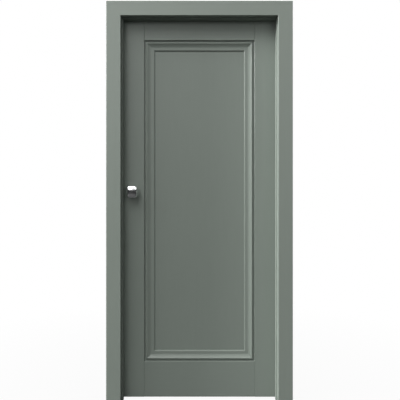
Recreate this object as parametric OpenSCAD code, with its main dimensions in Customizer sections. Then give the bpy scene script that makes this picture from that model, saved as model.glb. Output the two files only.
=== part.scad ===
// Panelled interior door leaf hung in an adjustable frame, with turning knobs and a mortise latch.
// The front casing faces -Y, the leaf opens towards +Y, and the floor is at Z = 0.

/* [Doorway] */
// Clear width between the jambs
clear_w = 800; // [600:10:1000]
// Clear height under the head jamb
clear_h = 2000; // [1800:10:2300]
// Gap between the floor and the leaf
floor_gap = 10; // [3:1:15]

/* [Frame] */
// Width of the front casing's face
casing_w = 75; // [60:1:100]
// Thickness of a casing board
casing_t = 14; // [10:1:20]
// Step from the jamb's inner face to the front casing's inner edge
casing_setback = 5; // [4:0.5:8]
// Radius of a casing's long edges
casing_round = 2; // [1:0.5:4]
// Length of the front casing's tongue that shows in the reveal
tongue_show = 22; // [5:1:40]
// Length of the front casing's tongue that is held in the jamb
tongue_in = 24; // [15:1:30]
// Depth of the jamb's inner face, from its front end to the stop
reveal_d = 44; // [40:1:90]
// Thickness of the jamb behind the rebate
jamb_t = 22; // [20:1:30]
// Depth of the rebate that the leaf closes into
rebate = 15; // [12:0.5:20]
// Step from the rebate to the rear casing's inner edge
rear_setback = 7; // [7:0.5:12]

/* [Leaf] */
// Thickness of the leaf
leaf_t = 40; // [36:1:50]
// Gap between the leaf and the jambs
edge_gap = 3; // [2.5:0.1:5]
// Gap between the stop and the leaf, filled by the seal
seal_gap = 3; // [2.5:0.1:5]
// Width of each stile
stile_w = 120; // [110:1:160]
// Height of the top rail
top_rail_h = 114; // [90:1:180]
// Height of the bottom rail
bottom_rail_h = 189; // [120:1:300]
// Thickness of the flat panel
panel_t = 8; // [6:0.5:16]
// Depth of the groove that holds the panel
groove_d = 12; // [8:1:16]
// Width of the moulding around the panel
moulding_w = 55; // [45:1:80]
// Small bevel on the edges of stiles and rails
edge_bevel = 1.5; // [0.5:0.1:3]

/* [Knob and latch] */
// Height of the knob's axis above the floor
knob_z = 1097; // [950:1:1150]
// Distance from the leaf's lock edge to the knob's axis
backset = 60; // [55:1:70]
// Width of the knob
knob_w = 57; // [45:1:65]
// Height of the knob
knob_h = 65; // [50:1:70]
// How far each knob stands out from the leaf
knob_reach = 62; // [55:1:75]
// Side of the square spindle
spindle_a = 8; // [7:1:9]
// Diameter of each rose
rose_d = 50; // [46:1:56]
// How far the latch bolt stands out of the leaf
latch_throw = 12; // [9:0.5:12]

/* [Hinges] */
// Length of each hinge
hinge_len = 100; // [80:5:120]
// Thickness of the hinge plates
hinge_t = 2.5; // [2:0.1:3]
// Radius of the hinge knuckles
knuckle_r = 6; // [5.5:0.1:7]
// Radius of the hinge pins
hinge_pin_r = 3.5; // [3:0.1:4]
// Distance from the leaf's ends to the middle of the outer hinges
hinge_end = 250; // [180:5:350]

/* [Hidden] */
$fn = 48;
// Room between pieces that are fixed to each other, and between pieces that move
fit = 0.1;
clear = 0.3;
past = 1;

// Depths are measured back from the front casing's face
s_jamb = casing_t + tongue_show;
s_stop = s_jamb + reveal_d;
s_front = s_stop + seal_gap;
s_back = s_front + leaf_t;
s_mid = (s_front + s_back) / 2;
total_depth = s_back + knob_reach;

half_w = clear_w / 2;
jamb_u = rebate + jamb_t;
frame_u = casing_setback + casing_w;
rear_u = rebate + rear_setback;

tongue_t = 10;
slip = 0.2;
slot_d = tongue_in + 1;
rear_tongue_t = 6;
rear_tongue_d = 10;
rear_tongue_u = rear_u + 4;
seal_u = 8;
seal_stem = 3;
seal_groove_d = 6;
seal_bulb_r = seal_gap - clear;
seal_wall = 0.9;
lip_round = 1.2;

corner_dowel_r = 4;
corner_dowel_len = 20;
corner_dowel_at = [[(casing_setback + jamb_u) / 2, s_stop - 12], [rebate + jamb_t / 2, s_mid - 6]];

leaf_half = half_w + rebate - edge_gap;
leaf_bottom = floor_gap;
leaf_top = clear_h + rebate - edge_gap;
leaf_h = leaf_top - leaf_bottom;
open_half = leaf_half - stile_w;
open_bottom = leaf_bottom + bottom_rail_h;
open_top = leaf_top - top_rail_h;
open_h = open_top - open_bottom;
open_mid = (open_top + open_bottom) / 2;
recess = (leaf_t - panel_t) / 2;
tongue_gap = 1;
rail_dowel_r = 5;
rail_dowel_len = 90;
top_dowels = [for (k = [-1, 1]) leaf_top - top_rail_h / 2 + k * top_rail_h / 4];
bottom_dowels = [for (k = [-1, 0, 1]) leaf_bottom + bottom_rail_h / 2 + k * bottom_rail_h / 3.4];

// Moulding section, measured from the stile inwards and up from the panel
quirk_w = 9;
quirk_h = recess * 0.35;
bead_r = recess * 0.34;
bead_at = quirk_w + bead_r;
bead_mid = recess - bead_r;
fillet_h = recess * 0.42;
toe_r = fillet_h;
fillet_w = 12;
cove_top = [bead_at + bead_r * 0.7, bead_mid + bead_r * 0.7];
cove_end = [moulding_w - toe_r - fillet_w, fillet_h];
cove_run = cove_end - cove_top;
cove_r = norm(cove_run) * 2.2;
cove_lift = sqrt(cove_r * cove_r - cove_run * cove_run / 4);
cove_centre = (cove_top + cove_end) / 2 + [-cove_run[1], cove_run[0]] * cove_lift / norm(cove_run);

knob_x = -(leaf_half - backset);
rose_r = rose_d / 2;
rose_h = 8;
rose_wall = 1.6;
rose_base_h = rose_h - rose_wall - slip;
rose_screw_gap = 38;
rose_screw_r = 2;
neck_r = 10.5;
knob_back = 28;
knob_corner = 15;
knob_edge = 10;
knob_dome_drop = 7;
grub_r = 2.4;
grub_at = 17;
socket_end = 44;
spindle_end = socket_end - 2;

latch_rise = 28;
latch_z = knob_z + latch_rise;
latch_h = 16;
latch_t = 11;
latch_head = 29;
tail_a = 8;
arm_r = 17.5;
arm_tip_r = 3;
arm_w = 4.6;
arm_lean = asin(latch_throw / 2 / arm_r);
tab_t = 5;
tab_x = knob_x - arm_r * sin(arm_lean) + arm_tip_r + clear;
tail_end = tab_x + tab_t + 3;
spring_guide = 6;
spring_r = 2.9;
spring_wire = 0.8;
spring_turns = 6;
hub_r = 10.5;
hub_t = 8;
bearing_r = 8;

plate_t = 3;
plate_w = 20;
plate_h = 170;
plate_corner = 3;
case_t = 15;
case_wall = 1.5;
case_x = -leaf_half + plate_t;
case_end = tail_end + latch_throw + spring_guide + case_wall + 0.5;
case_low = knob_z - 24;
case_high = latch_z + 14;
plate_mid = (case_low + case_high) / 2;
plate_screw_gap = plate_h - 24;

strike_t = 2;
strike_w = 24;
strike_h = 110;
strike_lip_h = 34;
strike_screw_gap = strike_h - 20;
strike_room = 2;

knuckles = 5;
hinge_half_gap = 0.2;
hinge_x = leaf_half + edge_gap / 2;
hinge_s = s_back + knuckle_r + 1.5;
hinge_reach = 30;
hinge_plate_end = s_back - 0.2;
hinge_plate_start = hinge_plate_end - hinge_reach;
hinge_corner = 3;
hinge_sink = hinge_half_gap + hinge_t - edge_gap / 2;
hinge_lower = leaf_bottom + hinge_end;
hinge_upper = leaf_top - hinge_end;
hinge_middle = (hinge_lower + hinge_upper) / 2;
hinge_heights = [hinge_lower, hinge_middle, hinge_upper];
hinge_screws = [[-14, 0.38], [-24, 0.14], [-24, -0.14], [-14, -0.38]];

screw_head_r = 3.8;
screw_r = 2;
screw_len = 18;
screw_tip = 4;
cross_w = 1;
cross_l = 4.4;
cross_d = 1.2;

paint = [0.48, 0.52, 0.49];
steel = [0.72, 0.72, 0.73];
chrome = [0.85, 0.86, 0.87];
beech = [0.80, 0.66, 0.46];
rubber = [0.16, 0.17, 0.16];

function depth_y(s) = s - total_depth / 2;

// Shared shapes

// Rectangle with round corners, centred
module rounded_rect(w, h, r) {
    square([w - 2 * r, h], center = true);
    square([w, h - 2 * r], center = true);
    for (i = [-1, 1], j = [-1, 1])
        translate([i * (w / 2 - r), j * (h / 2 - r)])
            circle(r);
}

// Rectangle with its four corners cut at 45 degrees, from the origin
module bevelled_rect(w, h, c) {
    polygon([[c, 0], [w - c, 0], [w, c], [w, h - c], [w - c, h], [c, h], [0, h - c], [0, c]]);
}

// What is taken off a square corner at the origin to round it, with the material towards +x and +y
module corner_waste(r) {
    difference() {
        translate([-past, -past])
            square(r + past);
        translate([r, r])
            circle(r);
    }
}

// Turns a flat outline so that its x runs along Y, its y along Z and its height along X
module facing_x() {
    rotate([90, 0, 90])
        children();
}

// Turns a flat outline so that its y runs along Z and its height towards -Y
module facing_front() {
    rotate([90, 0, 0])
        children();
}

// Puts a shape on the leaf's knob axis: its z runs out from the leaf's front face
module on_front_face() {
    translate([knob_x, depth_y(s_front), knob_z])
        facing_front()
            children();
}

// The same on the leaf's rear face, as a mirror image
module on_rear_face() {
    translate([knob_x, depth_y(s_back), knob_z])
        mirror([0, 1, 0])
            facing_front()
                children();
}

// Countersunk screw with its head's face at z = 0 and its body below
module csk_screw(length) {
    head_h = screw_head_r - screw_r;
    difference() {
        union() {
            translate([0, 0, -head_h])
                cylinder(h = head_h, r1 = screw_r, r2 = screw_head_r);
            translate([0, 0, screw_tip - length])
                cylinder(h = length - screw_tip - head_h / 2, r = screw_r);
            translate([0, 0, -length])
                cylinder(h = screw_tip, r1 = screw_r / 5, r2 = screw_r);
        }
        for (a = [45, 135])
            rotate(a)
                cube([cross_l, cross_w, 2 * cross_d], center = true);
    }
}

// Hole that takes such a screw
module csk_hole(length) {
    head_h = screw_head_r - screw_r;
    translate([0, 0, -head_h])
        cylinder(h = head_h + fit, r1 = screw_r + fit, r2 = screw_head_r + 2 * fit);
    translate([0, 0, -length - fit])
        cylinder(h = length, r = screw_r + fit);
    translate([0, 0, fit / 2])
        cylinder(h = past, r = screw_head_r + 2 * fit);
}

// Frame

// Runs a section (across, depth) up the right side of the opening and mitres it at the head
module right_member() {
    top = frame_u + past;
    intersection() {
        translate([half_w, depth_y(0), 0])
            linear_extrude(clear_h + top)
                children();
        facing_front()
            linear_extrude(2 * total_depth, center = true)
                polygon([[half_w, 0], [half_w, clear_h],
                         [half_w + top, clear_h + top], [half_w + top, 0]]);
    }
}

module left_member() {
    mirror([1, 0, 0])
        right_member()
            children();
}

// Runs the same section over the opening, mitred at both ends
module head_member() {
    top = frame_u + past;
    intersection() {
        translate([0, depth_y(0), clear_h])
            rotate([0, -90, 0])
                linear_extrude(2 * (half_w + top), center = true)
                    children();
        facing_front()
            linear_extrude(2 * total_depth, center = true)
                polygon([[-half_w, clear_h], [half_w, clear_h],
                         [half_w + top, clear_h + top], [-half_w - top, clear_h + top]]);
    }
}

// Thick front board, with the slot for the casing's tongue and the groove for the seal
module jamb_section() {
    difference() {
        translate([0, s_jamb])
            square([jamb_u, s_stop - s_jamb]);
        translate([casing_setback - slip, s_jamb - past])
            square([tongue_t + 2 * slip, slot_d + past]);
        translate([seal_u - seal_stem / 2, s_stop - seal_groove_d])
            square([seal_stem, seal_groove_d + past]);
        translate([0, s_jamb])
            corner_waste(lip_round);
        translate([0, s_stop])
            mirror([0, 1])
                corner_waste(lip_round);
    }
}

// Thinner board behind it, which leaves the rebate for the leaf and holds the rear casing's tongue
module rebate_section() {
    difference() {
        translate([rebate, s_stop])
            square([jamb_u - rebate, s_back - s_stop]);
        translate([rear_tongue_u - slip, s_back - rear_tongue_d - past])
            square([rear_tongue_t + 2 * slip, rear_tongue_d + 2 * past]);
    }
}

module front_casing_section() {
    difference() {
        translate([casing_setback, 0])
            square([casing_w, casing_t]);
        translate([casing_setback, 0])
            corner_waste(casing_round);
        translate([frame_u, 0])
            mirror([1, 0])
                corner_waste(casing_round);
    }
    translate([casing_setback, casing_t - past])
        square([tongue_t, tongue_show + tongue_in + past]);
}

module rear_casing_section() {
    face = s_back + casing_t;
    difference() {
        translate([rear_u, s_back])
            square([frame_u - rear_u, casing_t]);
        translate([rear_u, face])
            mirror([0, 1])
                corner_waste(casing_round);
        translate([frame_u, face])
            rotate(180)
                corner_waste(casing_round);
    }
    translate([rear_tongue_u, s_back - rear_tongue_d])
        square([rear_tongue_t, rear_tongue_d + past]);
}

// Hollow bulb on a stem that is pressed in the groove of the stop
module seal_section() {
    translate([seal_u - seal_stem / 2 + slip, s_stop - seal_groove_d + slip])
        square([seal_stem - 2 * slip, seal_groove_d - slip + seal_wall]);
    intersection() {
        translate([seal_u, s_stop])
            difference() {
                circle(seal_bulb_r);
                circle(seal_bulb_r - seal_wall);
            }
        translate([seal_u - seal_bulb_r, s_stop])
            square([2 * seal_bulb_r, seal_bulb_r + past]);
    }
    translate([seal_u - seal_bulb_r + fit, s_stop])
        square([2 * (seal_bulb_r - fit), seal_wall]);
}

// Dowels across both mitres, square to the joint
module mitre_dowels(r, length) {
    for (m = [0, 1], p = corner_dowel_at)
        mirror([m, 0, 0])
            translate([half_w + p[0], depth_y(p[1]), clear_h + p[0]])
                rotate([0, 135, 0])
                    cylinder(h = length, r = r, center = true);
}

module strike_outline() {
    rounded_rect(strike_w, strike_h, plate_corner);
    translate([0, -strike_lip_h / 2])
        square([s_back - s_mid - edge_bevel, strike_lip_h]);
}

// Puts a shape on the strike: z runs out of the left jamb's rebate face, x along the depth
module on_strike() {
    translate([-half_w - rebate, depth_y(s_mid), latch_z])
        facing_x()
            children();
}

module strike_screw_places() {
    for (k = [-1, 1])
        on_strike()
            translate([0, k * strike_screw_gap / 2, 0])
                children();
}

// Hole for the latch bolt in the strike and the jamb behind it
module latch_pocket(depth) {
    on_strike()
        translate([0, 0, -depth])
            linear_extrude(depth + past)
                rounded_rect(latch_t + 2 * strike_room, latch_h + 2 * strike_room, 2);
}

module jamb_hinge_cuts() {
    for (z = hinge_heights)
        translate([0, 0, z]) {
            translate([hinge_x + edge_gap / 2 - past, depth_y(hinge_plate_start), -hinge_len / 2])
                cube([hinge_sink + past, hinge_reach + past, hinge_len]);
            frame_hinge_screw_places()
                csk_hole(screw_len);
        }
}

module mitre_dowel_holes() {
    mitre_dowels(corner_dowel_r + fit, corner_dowel_len + 2 * fit);
}

module left_jamb() {
    color(paint)
        difference() {
            left_member()
                jamb_section();
            mitre_dowel_holes();
        }
}

module right_jamb() {
    color(paint)
        difference() {
            right_member()
                jamb_section();
            mitre_dowel_holes();
        }
}

module head_jamb() {
    color(paint)
        difference() {
            head_member()
                jamb_section();
            mitre_dowel_holes();
        }
}

module left_rebate_board() {
    color(paint)
        difference() {
            left_member()
                rebate_section();
            mitre_dowel_holes();
            on_strike()
                translate([0, 0, -strike_t])
                    linear_extrude(strike_t + past)
                        strike_outline();
            latch_pocket(latch_throw + strike_room);
            strike_screw_places()
                csk_hole(screw_len);
        }
}

module right_rebate_board() {
    color(paint)
        difference() {
            right_member()
                rebate_section();
            mitre_dowel_holes();
            jamb_hinge_cuts();
        }
}

module head_rebate_board() {
    color(paint)
        difference() {
            head_member()
                rebate_section();
            mitre_dowel_holes();
        }
}

module left_front_casing() {
    color(paint)
        left_member()
            front_casing_section();
}

module right_front_casing() {
    color(paint)
        right_member()
            front_casing_section();
}

module head_front_casing() {
    color(paint)
        head_member()
            front_casing_section();
}

module left_rear_casing() {
    color(paint)
        left_member()
            rear_casing_section();
}

module right_rear_casing() {
    color(paint)
        right_member()
            rear_casing_section();
}

module head_rear_casing() {
    color(paint)
        head_member()
            rear_casing_section();
}

module left_seal() {
    color(rubber)
        left_member()
            seal_section();
}

module right_seal() {
    color(rubber)
        right_member()
            seal_section();
}

module head_seal() {
    color(rubber)
        head_member()
            seal_section();
}

module corner_dowels() {
    color(beech)
        mitre_dowels(corner_dowel_r, corner_dowel_len);
}

module strike_plate() {
    color(steel)
        difference() {
            on_strike()
                translate([0, 0, -strike_t])
                    linear_extrude(strike_t)
                        strike_outline();
            latch_pocket(strike_t + past);
            strike_screw_places()
                csk_hole(screw_len);
        }
}

module strike_screws() {
    color(steel)
        strike_screw_places()
            csk_screw(screw_len);
}

// Hinges

// Screw places on a hinge's frame plate: z runs out of the plate towards the leaf
module frame_hinge_screw_places() {
    for (p = hinge_screws)
        translate([hinge_x + hinge_half_gap, depth_y(hinge_plate_end + p[0]), p[1] * hinge_len])
            rotate([0, -90, 0])
                children();
}

module leaf_hinge_screw_places() {
    for (p = hinge_screws)
        translate([hinge_x - hinge_half_gap, depth_y(hinge_plate_end + p[0]), p[1] * hinge_len])
            rotate([0, 90, 0])
                children();
}

// Plate with its knuckles: x_in is the plate's face nearest the leaf, first its lowest knuckle
module hinge_half(x_in, first, bore) {
    step = hinge_len / knuckles;
    difference() {
        union() {
            translate([x_in, depth_y(hinge_plate_end - hinge_reach / 2), 0])
                facing_x()
                    linear_extrude(hinge_t)
                        rounded_rect(hinge_reach, hinge_len, hinge_corner);
            for (k = [first : 2 : knuckles - 1])
                translate([0, 0, k * step - hinge_len / 2 + clear / 2]) {
                    translate([hinge_x, depth_y(hinge_s), 0])
                        cylinder(h = step - clear, r = knuckle_r);
                    translate([x_in, depth_y(hinge_plate_end - hinge_corner - past), 0])
                        cube([hinge_t, hinge_s - hinge_plate_end + hinge_corner + past, step - clear]);
                }
        }
        translate([hinge_x, depth_y(hinge_s), 0])
            cylinder(h = hinge_len + 2 * past, r = bore, center = true);
    }
}

module hinge_frame_plate(z) {
    color(steel)
        translate([0, 0, z])
            difference() {
                hinge_half(hinge_x + hinge_half_gap, 0, hinge_pin_r + fit);
                frame_hinge_screw_places()
                    csk_hole(screw_len);
            }
}

module hinge_leaf_plate(z) {
    color(steel)
        translate([0, 0, z])
            difference() {
                hinge_half(hinge_x - hinge_half_gap - hinge_t, 1, hinge_pin_r + clear);
                leaf_hinge_screw_places()
                    csk_hole(screw_len);
            }
}

// Loose pin with a button head that rests on the top knuckle
module hinge_pin(z) {
    head_h = 3;
    color(steel)
        translate([hinge_x, depth_y(hinge_s), z]) {
            translate([0, 0, -hinge_len / 2])
                cylinder(h = hinge_len, r = hinge_pin_r);
            translate([0, 0, hinge_len / 2 - clear / 2])
                cylinder(h = head_h, r1 = knuckle_r, r2 = hinge_pin_r);
        }
}

module hinge_frame_plate_lower() { hinge_frame_plate(hinge_lower); }
module hinge_frame_plate_middle() { hinge_frame_plate(hinge_middle); }
module hinge_frame_plate_upper() { hinge_frame_plate(hinge_upper); }
module hinge_leaf_plate_lower() { hinge_leaf_plate(hinge_lower); }
module hinge_leaf_plate_middle() { hinge_leaf_plate(hinge_middle); }
module hinge_leaf_plate_upper() { hinge_leaf_plate(hinge_upper); }
module hinge_pin_lower() { hinge_pin(hinge_lower); }
module hinge_pin_middle() { hinge_pin(hinge_middle); }
module hinge_pin_upper() { hinge_pin(hinge_upper); }

module hinge_frame_screws() {
    color(steel)
        for (z = hinge_heights)
            translate([0, 0, z])
                frame_hinge_screw_places()
                    csk_screw(screw_len);
}

module hinge_leaf_screws() {
    color(steel)
        for (z = hinge_heights)
            translate([0, 0, z])
                leaf_hinge_screw_places()
                    csk_screw(screw_len);
}

// Leaf

module stile_blank() {
    translate([-leaf_half, depth_y(s_front), leaf_bottom])
        linear_extrude(leaf_h)
            difference() {
                bevelled_rect(stile_w, leaf_t, edge_bevel);
                translate([stile_w - groove_d, recess - fit])
                    square([groove_d + past, panel_t + 2 * fit]);
            }
}

// Dowels between both stiles and both rails
module stile_dowels(r, length) {
    for (m = [-1, 1], z = concat(top_dowels, bottom_dowels))
        translate([m * open_half, depth_y(s_mid), z])
            rotate([0, 90, 0])
                cylinder(h = length, r = r, center = true);
}

module dowel_holes() {
    stile_dowels(rail_dowel_r + fit, rail_dowel_len + 2 * fit);
}

module rose_screw_places() {
    for (k = [-1, 1])
        translate([k * rose_screw_gap / 2, 0, 0])
            children();
}

module faceplate_screw_places() {
    for (k = [-1, 1])
        translate([-leaf_half, depth_y(s_mid), plate_mid + k * plate_screw_gap / 2])
            rotate([0, -90, 0])
                children();
}

// Pocket for the lock, with holes through both faces for the knobs and the rose screws
module lock_cuts() {
    translate([case_x - past, depth_y(s_mid - case_t / 2 - fit), case_low - fit])
        cube([case_end - case_x + past + fit, case_t + 2 * fit, case_high - case_low + 2 * fit]);
    translate([-leaf_half - past, depth_y(s_mid), plate_mid])
        facing_x()
            linear_extrude(plate_t + past)
                rounded_rect(plate_w, plate_h, plate_corner);
    faceplate_screw_places()
        csk_hole(screw_len);
    on_front_face()
        translate([0, 0, -leaf_t - past])
            linear_extrude(leaf_t + 2 * past) {
                circle(neck_r + past);
                rose_screw_places()
                    circle(rose_screw_r + 2 * fit);
            }
}

module lock_stile() {
    color(paint)
        difference() {
            stile_blank();
            dowel_holes();
            lock_cuts();
        }
}

module hinge_stile() {
    color(paint)
        difference() {
            mirror([1, 0, 0])
                stile_blank();
            dowel_holes();
            for (z = hinge_heights)
                translate([0, 0, z]) {
                    translate([leaf_half - hinge_sink, depth_y(hinge_plate_start), -hinge_len / 2])
                        cube([hinge_sink + past, hinge_reach + past, hinge_len]);
                    leaf_hinge_screw_places()
                        csk_hole(screw_len);
                }
        }
}

// Rail of height h, from the origin up: the panel's groove in its upper edge, a tongue at each end
module rail_blank(h) {
    difference() {
        union() {
            intersection() {
                translate([-open_half, 0, 0])
                    facing_x()
                        linear_extrude(2 * open_half)
                            bevelled_rect(leaf_t, h, edge_bevel);
                translate([-open_half, 0, -past])
                    linear_extrude(h + 2 * past)
                        bevelled_rect(2 * open_half, leaf_t, edge_bevel);
            }
            translate([-open_half - groove_d + tongue_gap, recess, 0])
                cube([2 * (open_half + groove_d - tongue_gap), panel_t, h - 2 * groove_d]);
        }
        translate([-open_half - past, recess - fit, h - groove_d])
            cube([2 * (open_half + past), panel_t + 2 * fit, groove_d + past]);
    }
}

module top_rail() {
    color(paint)
        difference() {
            translate([0, depth_y(s_front), leaf_top])
                mirror([0, 0, 1])
                    rail_blank(top_rail_h);
            dowel_holes();
        }
}

module bottom_rail() {
    color(paint)
        difference() {
            translate([0, depth_y(s_front), leaf_bottom])
                rail_blank(bottom_rail_h);
            dowel_holes();
        }
}

module panel() {
    w = 2 * (open_half + groove_d - tongue_gap);
    h = open_h + 2 * (groove_d - tongue_gap);
    color(paint)
        translate([-w / 2, depth_y(s_mid - panel_t / 2), open_mid - h / 2])
            cube([w, panel_t, h]);
}

// Section of the moulding: quirk, bead, cove, fillet and a rounded toe on the panel
module moulding_section() {
    square([bead_at, quirk_h]);
    translate([quirk_w, 0])
        square([2 * bead_r, bead_mid]);
    translate([bead_at, bead_mid])
        circle(bead_r);
    difference() {
        translate([bead_at, 0])
            square([cove_end[0] - bead_at, cove_top[1]]);
        translate(cove_centre)
            circle(cove_r, $fn = 96);
    }
    translate([cove_end[0] - past, 0])
        square([fillet_w + past, fillet_h]);
    intersection() {
        translate([moulding_w - toe_r, 0])
            circle(toe_r);
        translate([moulding_w - toe_r - past, 0])
            square([toe_r + 2 * past, toe_r + past]);
    }
}

// Moulding mitred at both ends: x along it, y towards the panel's middle, z out of the panel
module moulding_length(length) {
    half = length / 2;
    intersection() {
        translate([-half, 0, 0])
            facing_x()
                linear_extrude(length)
                    moulding_section();
        linear_extrude(2 * recess, center = true)
            polygon([[-half, 0], [half, 0], [half - moulding_w - past, moulding_w + past],
                     [moulding_w + past - half, moulding_w + past]]);
    }
}

// Sets a length of moulding against one side of the panel's opening, where turn is 0 at the bottom
module set_moulding(turn, length, offset_from_middle) {
    translate([0, -panel_t / 2, open_mid])
        rotate([0, turn, 0])
            translate([0, 0, -offset_from_middle])
                facing_front()
                    moulding_length(length);
}

module front_moulding(turn, length, offset_from_middle) {
    color(paint)
        translate([0, depth_y(s_mid), 0])
            set_moulding(turn, length, offset_from_middle);
}

module rear_moulding(turn, length, offset_from_middle) {
    color(paint)
        translate([0, depth_y(s_mid), 0])
            mirror([0, 1, 0])
                set_moulding(turn, length, offset_from_middle);
}

module front_moulding_left() { front_moulding(90, open_h, open_half); }
module front_moulding_right() { front_moulding(-90, open_h, open_half); }
module front_moulding_top() { front_moulding(180, 2 * open_half, open_h / 2); }
module front_moulding_bottom() { front_moulding(0, 2 * open_half, open_h / 2); }
module rear_moulding_left() { rear_moulding(90, open_h, open_half); }
module rear_moulding_right() { rear_moulding(-90, open_h, open_half); }
module rear_moulding_top() { rear_moulding(180, 2 * open_half, open_h / 2); }
module rear_moulding_bottom() { rear_moulding(0, 2 * open_half, open_h / 2); }

module rail_dowels() {
    color(beech)
        stile_dowels(rail_dowel_r, rail_dowel_len);
}

// Lock

// Holes for the follower's bearings and the rose screws
module case_holes() {
    on_front_face()
        translate([0, 0, -leaf_t])
            linear_extrude(leaf_t) {
                circle(bearing_r + clear);
                rose_screw_places()
                    circle(rose_screw_r + fit);
            }
}

// Opening for the latch bolt, through the faceplate and the case's front wall
module latch_opening() {
    translate([-leaf_half - past, depth_y(s_mid - latch_t / 2 - clear), latch_z - latch_h / 2 - clear])
        cube([plate_t + case_wall + 2 * past, latch_t + 2 * clear, latch_h + 2 * clear]);
}

module lock_case() {
    long = case_end - case_x;
    high = case_high - case_low;
    color(steel)
        difference() {
            translate([case_x, depth_y(s_mid - case_t / 2), case_low])
                difference() {
                    cube([long, case_t - case_wall, high]);
                    translate([case_wall, case_wall, case_wall])
                        cube([long - 2 * case_wall, case_t, high - 2 * case_wall]);
                }
            case_holes();
            latch_opening();
        }
}

module lock_cover() {
    color(steel)
        difference() {
            translate([case_x, depth_y(s_mid + case_t / 2 - case_wall), case_low])
                cube([case_end - case_x, case_wall, case_high - case_low]);
            case_holes();
        }
}

module lock_faceplate() {
    color(steel)
        difference() {
            translate([-leaf_half, depth_y(s_mid), plate_mid])
                facing_x()
                    linear_extrude(plate_t)
                        rounded_rect(plate_w - 2 * fit, plate_h - 2 * fit, plate_corner);
            latch_opening();
            faceplate_screw_places()
                csk_hole(screw_len);
        }
}

module faceplate_screws() {
    color(steel)
        faceplate_screw_places()
            csk_screw(screw_len);
}

// Latch bolt, bevelled on the side that meets the strike when the leaf closes
module latch_bolt() {
    tip = -leaf_half - latch_throw;
    flat = 2;
    side = latch_t / 2;
    tab_low = knob_z + arm_r * cos(arm_lean) - arm_tip_r / 2;
    color(steel)
        translate([0, depth_y(s_mid), 0]) {
            translate([0, 0, latch_z - latch_h / 2])
                linear_extrude(latch_h)
                    polygon([[tip, side], [tip, side - flat], [-leaf_half - past, -side],
                             [tip + latch_head, -side], [tip + latch_head, side]]);
            translate([tip + latch_head - past, -tail_a / 2, latch_z - tail_a / 2])
                cube([tail_end - tip - latch_head + past, tail_a, tail_a]);
            translate([tab_x, -tail_a / 2, tab_low])
                cube([tab_t, tail_a, latch_z - tab_low]);
            translate([tail_end - past, 0, latch_z])
                rotate([0, 90, 0])
                    cylinder(h = spring_guide + past, r = spring_r - spring_wire);
        }
}

// Wire coiled along Z, as a ring of points swept along a helix
function coil_ring(i, per_turn, sides, length, turns) =
    let (a = 360 * i / per_turn, z = spring_wire / 2 + (length - spring_wire) * i / (per_turn * turns))
    [for (k = [0 : sides - 1])
        let (b = 360 * k / sides, r = spring_r + spring_wire / 2 * cos(b))
        [r * cos(a), r * sin(a), z + spring_wire / 2 * sin(b)]];

module coil(length, turns) {
    per_turn = 20;
    sides = 8;
    rings = per_turn * turns;
    points = [for (i = [0 : rings]) each coil_ring(i, per_turn, sides, length, turns)];
    skin = [for (i = [0 : rings - 1], k = [0 : sides - 1])
        let (a = i * sides + k, b = i * sides + (k + 1) % sides)
        each [[a, b, b + sides], [a, b + sides, a + sides]]];
    first_end = [for (k = [0 : sides - 1]) sides - 1 - k];
    last_end = [for (k = [0 : sides - 1]) rings * sides + k];
    polyhedron(points, concat(skin, [first_end, last_end]));
}

module latch_spring() {
    color(steel)
        translate([tail_end + fit, depth_y(s_mid), latch_z])
            rotate([0, 90, 0])
                coil(case_end - case_wall - tail_end - fit, spring_turns);
}

// Follower turned by the spindle, with the arm that draws the latch bolt back
module follower() {
    color(steel)
        translate([knob_x, depth_y(s_mid), knob_z])
            facing_front()
                difference() {
                    union() {
                        linear_extrude(hub_t, center = true) {
                            circle(hub_r);
                            rotate(arm_lean) {
                                translate([-arm_w / 2, 0])
                                    square([arm_w, arm_r]);
                                translate([0, arm_r])
                                    circle(arm_tip_r);
                            }
                        }
                        cylinder(h = case_t, r = bearing_r, center = true);
                    }
                    cube([spindle_a + 2 * fit, spindle_a + 2 * fit, case_t + past], center = true);
                }
}

// Roses and knobs, drawn with z out of the leaf's face

module rose_base(threaded) {
    difference() {
        cylinder(h = rose_base_h, r = rose_r - rose_wall - slip);
        translate([0, 0, -past])
            cylinder(h = rose_h, r = neck_r + past);
        rose_screw_places()
            if (threaded)
                translate([0, 0, -past])
                    cylinder(h = rose_base_h - past + fit, r = rose_screw_r + fit);
            else
                translate([0, 0, rose_base_h])
                    csk_hole(rose_base_h + past);
    }
}

module rose_cover() {
    edge = 2.5;
    rotate_extrude($fn = 96)
        difference() {
            square([rose_r, rose_h]);
            translate([rose_r, rose_h])
                rotate(180)
                    corner_waste(edge);
            translate([-past, -past])
                square([neck_r + clear + past, rose_h + 2 * past]);
            translate([0, -past])
                square([rose_r - rose_wall, rose_h - rose_wall + past]);
        }
}

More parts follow.
